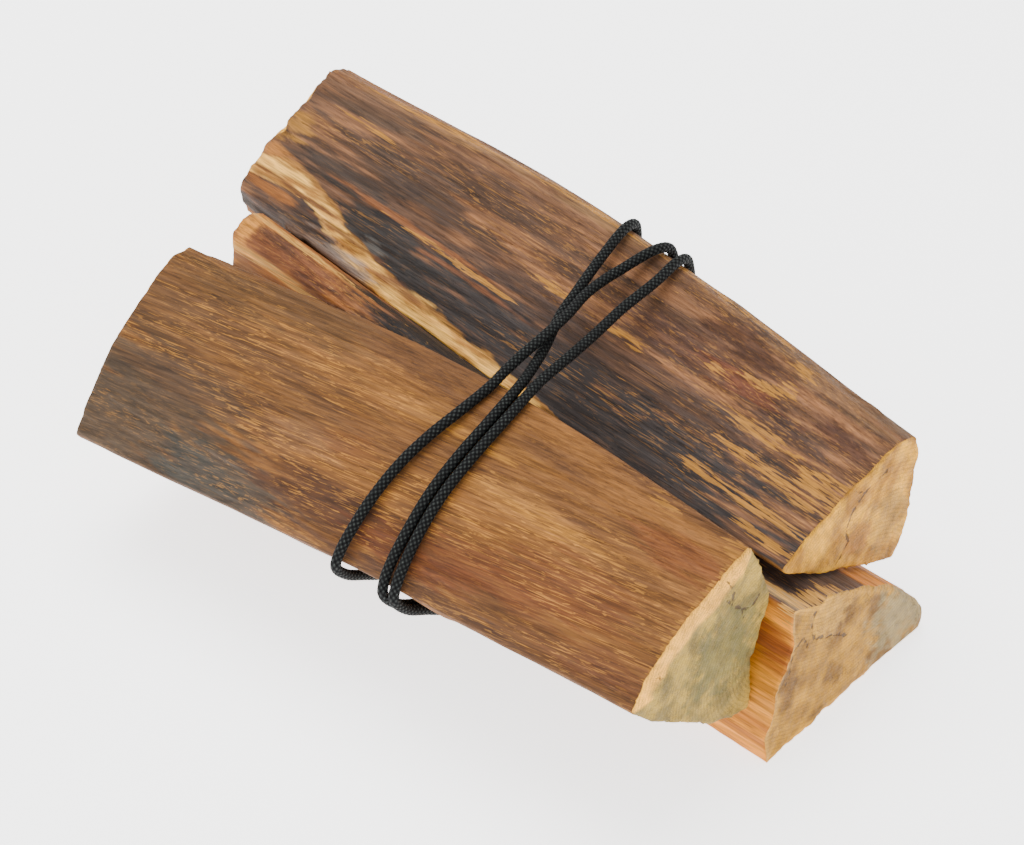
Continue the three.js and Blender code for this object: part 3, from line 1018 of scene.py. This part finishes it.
# %% A smooth line through the route points
def centripetal_line(points, steps):
    """A cubic through the points whose slopes allow for how far apart they are: the knots of each
    span are the fourth roots of the squared gaps, so short bends stay round."""
    padded = np.vstack([2 * points[0] - points[1], points, 2 * points[-1] - points[-2]])
    gap = np.sum(np.diff(padded, axis=0) ** 2, axis=1) ** 0.25
    before, start, end, after = padded[:-3], padded[1:-2], padded[2:-1], padded[3:]
    g0, g1, g2 = gap[:-2, None], gap[1:-1, None], gap[2:, None]
    slope_in = ((start - before) / g0 - (end - before) / (g0 + g1) + (end - start) / g1) * g1
    slope_out = ((end - start) / g1 - (after - start) / (g1 + g2) + (after - end) / g2) * g1
    t = (np.arange(steps) / steps)[None, :, None]
    cubic = (2 * start - 2 * end + slope_in + slope_out)[:, None]
    square = (-3 * start + 3 * end - 2 * slope_in - slope_out)[:, None]
    line = ((cubic * t + square) * t + slope_in[:, None]) * t + start[:, None]
    return np.vstack([line.reshape(-1, 3), points[-1]])


def even_line(line, spacing):
    """The same line with its points evenly spaced, and each one's distance along it."""
    travelled = np.append(0, np.cumsum(np.linalg.norm(np.diff(line, axis=0), axis=1)))
    distance = np.linspace(0, travelled[-1], int(travelled[-1] / spacing) + 1)
    return np.column_stack([np.interp(distance, travelled, line[:, k]) for k in range(3)]), distance


RING_SPACING = 0.7
middle_line, cord_distance = even_line(centripetal_line(route_points, 60), RING_SPACING)
print("the cord is", round(cord_distance[-1]), "mm long")

# %% [markdown]
# ## The braid
#
# Twelve bundles of yarn cross in a braided cord, six turning each way, and each goes over one
# and under the next. At one place on the cord, count the turns of both families: the height is
# the higher of the two. The same sum makes the shape here, and in the finish it places the
# painted highlight on the crossings and the gaps painted darker as shade.

# %% A cross-section carried along the line
CORD_RADIUS = 2.4
CORD_SIDES = 34
YARNS = 6
BRAID_REPEAT = 2.7
BRAID_DEPTH = 0.38


def carried_frames(line):
    """A right-angled frame at each point: the first one's side direction is carried along, losing
    only what points along the line, so that the cord isn't twisted."""
    tangents = np.gradient(line, axis=0)
    tangents /= np.linalg.norm(tangents, axis=1, keepdims=True)
    side = np.cross(tangents[0], [0.3, 0.5, 0.8])
    sides = np.empty_like(line)
    for i, tangent in enumerate(tangents):
        side = side - tangent * (side @ tangent)
        side = side / np.linalg.norm(side)
        sides[i] = side
    return sides, np.cross(tangents, sides)


def braid_height(turn, distance):
    """From 0 in the gaps to 1 on the yarns: each family's yarns are rounded ridges, lifted where
    a cosine along them is high, and the two families' cosines are opposite where they cross."""
    rising = YARNS * turn + distance / BRAID_REPEAT
    falling = YARNS * turn - distance / BRAID_REPEAT
    i, j = np.round(rising), np.round(falling)
    ridge_up = np.sqrt(1 - 0.95 * (2 * (rising - i)) ** 2)
    ridge_down = np.sqrt(1 - 0.95 * (2 * (falling - j)) ** 2)
    over_up = 0.7 + 0.3 * np.cos(np.pi * (falling + i))
    over_down = 0.7 - 0.3 * np.cos(np.pi * (rising + j))
    return np.maximum(ridge_up * over_up, ridge_down * over_down)


def carry_profile(line, distance):
    """Points of the cord's skin: at each place a circle whose radius is the cord's, less the depth
    of the braid there, and which closes to a round tip at both ends."""
    sides, ups = carried_frames(line)
    turn = np.arange(CORD_SIDES) / CORD_SIDES
    height = braid_height(turn[None, :], distance[:, None])
    to_end = np.minimum(distance, distance[-1] - distance)
    tip = np.sqrt(1 - (1 - np.clip(to_end / CORD_RADIUS, 0.02, 1)) ** 2)
    radius = (CORD_RADIUS - BRAID_DEPTH * (1 - height)) * tip[:, None]
    angle = 2 * np.pi * turn
    around = np.cos(angle)[None, :, None] * sides[:, None] + np.sin(angle)[None, :, None] * ups[:, None]
    return line[:, None] + radius[..., None] * around


cord_skin = carry_profile(middle_line, cord_distance)
cord = closed_mesh("braided_cord", cord_skin, middle_line[0], middle_line[-1])

# %% The cord's own map: turns round it and braid repeats along it
def map_cord(piece, rings, sides):
    """Each face corner's place: U is the turn from 0 to 1, and V counts braid repeats. The last
    column's far corners get U = 1, so the pattern closes."""
    mesh = piece.data
    corner = np.empty(len(mesh.loops), np.int32)
    mesh.loops.foreach_get("vertex_index", corner)
    ring, step = np.divmod(corner, sides)
    u = step / sides
    quad_corners = (rings - 1) * sides * 4
    columns = np.arange((rings - 1) * sides) % sides
    closing = np.repeat(columns == sides - 1, 4) & (step[:quad_corners] == 0)
    u[:quad_corners][closing] = 1.0
    v = np.minimum(ring, rings - 1) * RING_SPACING / BRAID_REPEAT
    layer = mesh.uv_layers.new(name="braid")
    layer.data.foreach_set("uv", np.stack([u, v], axis=1).astype(np.float32).ravel())


map_cord(cord, len(cord_skin), CORD_SIDES)
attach(cord, "root")
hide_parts("binding_cord")

# %% [markdown]
# ## The finish of the cord
#
# The yarn is black. On top of each crossing, where light would catch the fibres, small grey-green
# flecks in a zigzag are painted highlight, and the gaps between the yarns are painted darker as
# shade. The flecks follow the same crossings as the shape.

# %% Cord
# Painted shade for the gaps between the yarns, and a painted highlight grey for the crossings' tops.
PAINTED_GAP_SHADE = (0.0012, 0.0013, 0.0014)
YARN_BLACK = (0.006, 0.0066, 0.0068)
PAINTED_GLINT_GREY = tint(104, 112, 106)


def cord_finish():
    """Black yarn with a painted highlight of dark grey flecks on top of the crossings, and painted
    shade, nearly black, in the gaps.
    """
    f = Finish("black_braid")
    uv = f.step("ShaderNodeUVMap", {}, uv_map="braid").outputs["UV"]
    split_uv = f.step("ShaderNodeSeparateXYZ", {"Vector": uv})
    turns = f.times(split_uv.outputs["X"], float(YARNS))
    rising = f.calc("ADD", turns, split_uv.outputs["Y"])
    falling = f.calc("SUBTRACT", turns, split_uv.outputs["Y"])

    def yarns(own, other, lift):
        """Height of one family: its ridges, times a lift where it is on top."""
        whole = f.calc("ROUND", own)
        off = f.times(f.calc("SUBTRACT", own, whole), 2.0)
        ridge = f.calc("SQRT", f.calc("SUBTRACT", 1.0, f.times(off, off, 0.95)))
        wave = f.calc("COSINE", f.times(f.calc("ADD", other, whole), float(np.pi)))
        return f.times(ridge, f.calc("ADD", 0.7, f.times(wave, lift)))

    height = f.calc("MAXIMUM", yarns(rising, falling, 0.3), yarns(falling, rising, -0.3))
    fibre = f.noise(0.5, 0.25, 3.0, 2.0)
    patchy = f.noise(6, 5, 9.0, 2.0)
    # Painted highlight where a yarn is on top, and painted shade where it sinks into a gap.
    on_top = f.window(height, 0.86, 0.99)
    lit = f.times(on_top, f.window(fibre, 0.40, 0.62, 0.2, 1.0), f.window(patchy, 0.3, 0.7, 0.45, 1.0))
    dark = f.blend(f.window(height, 0.5, 0.9), rgba(PAINTED_GAP_SHADE), rgba(YARN_BLACK))
    colour = f.blend(lit, dark, rgba(PAINTED_GLINT_GREY))
    relief = f.calc("ADD", height, f.times(fibre, 0.25))
    bump = f.step("ShaderNodeBump", {"Strength": 0.8, "Distance": 0.0006, "Height": relief})
    rough = f.window(height, 0.4, 1.0, 0.95, 0.62)
    f.connect(Base_Color=colour, Normal=bump.outputs["Normal"], Roughness=rough)
    f.shader.inputs["Specular IOR Level"].default_value = 0.15
    return f.material


cord.data.materials.append(cord_finish())
print("the cord's finish has", len(cord.data.materials[0].node_tree.nodes), "nodes")

# %% [markdown]
# ## Floor, light and camera
#
# The bundle lies on a plain pale floor, which gives off a little light of its own so that it
# looks nearly white. Broad soft lamps light it from above and from both sides, as a light tent
# would, so that the shadows are faint. The camera looks down on the sawn ends with a long lens,
# which keeps the logs' edges nearly parallel. Here lengths are in metres.

# %% Floor
FLOOR_GLOW = 2.2

bpy.ops.mesh.primitive_plane_add(size=12)
floor = bpy.context.object
floor.name = "pale_floor"
paper = bpy.data.materials.new("pale_paper")
paper.use_nodes = True
paper_shader = paper.node_tree.nodes["Principled BSDF"]
paper_shader.inputs["Base Color"].default_value = (0.95, 0.95, 0.95, 1)
paper_shader.inputs["Roughness"].default_value = 0.9
paper_shader.inputs["Emission Color"].default_value = (1, 1, 1, 1)
paper_shader.inputs["Emission Strength"].default_value = FLOOR_GLOW
floor.data.materials.append(paper)

# %% Light
def soft_lamp(name, place, target, size, watts):
    """A square area lamp at place, turned to face target."""
    data = bpy.data.lights.new(name, "AREA")
    data.size = size
    data.energy = watts
    lamp = bpy.data.objects.new(name, data)
    lamp.location = place
    lamp.rotation_euler = (Vector(target) - Vector(place)).to_track_quat("-Z", "Y").to_euler()
    bpy.context.scene.collection.objects.link(lamp)


bundle_middle = (0.0, 0.0, 0.06)
soft_lamp("top_lamp", (-0.5, 0.2, 1.9), bundle_middle, 1.6, 52)
soft_lamp("left_lamp", (-1.6, -0.9, 1.2), bundle_middle, 1.3, 18)
soft_lamp("near_lamp", (1.7, -1.1, 1.0), bundle_middle, 1.3, 20)
ROOM_LIGHT = 0.9
world = bpy.data.worlds.new("pale_room")
bpy.context.scene.world = world
world.use_nodes = True
background = world.node_tree.nodes["Background"]
background.inputs["Color"].default_value = (1, 1, 1, 1)
background.inputs["Strength"].default_value = ROOM_LIGHT

# %% Camera
TARGET = Vector((0.02605, -0.0104, 0.094))
AZIMUTH = np.radians(41)
ELEVATION = np.radians(41)
CAMERA_DISTANCE = 2.0
SENSOR_MM = 36
LENS_MM = 163.5
level = np.array([np.sin(AZIMUTH), -np.cos(AZIMUTH)]) * np.cos(ELEVATION)
back = Vector((*level, np.sin(ELEVATION)))
camera_data = bpy.data.cameras.new("long_lens")
camera_data.sensor_width = SENSOR_MM
camera_data.lens = LENS_MM
camera = bpy.data.objects.new("camera", camera_data)
camera.location = TARGET + back * CAMERA_DISTANCE
camera.rotation_euler = (-back).to_track_quat("-Z", "Y").to_euler()
bpy.context.scene.collection.objects.link(camera)
bpy.context.scene.camera = camera
print("camera at", [round(v, 3) for v in camera.location])
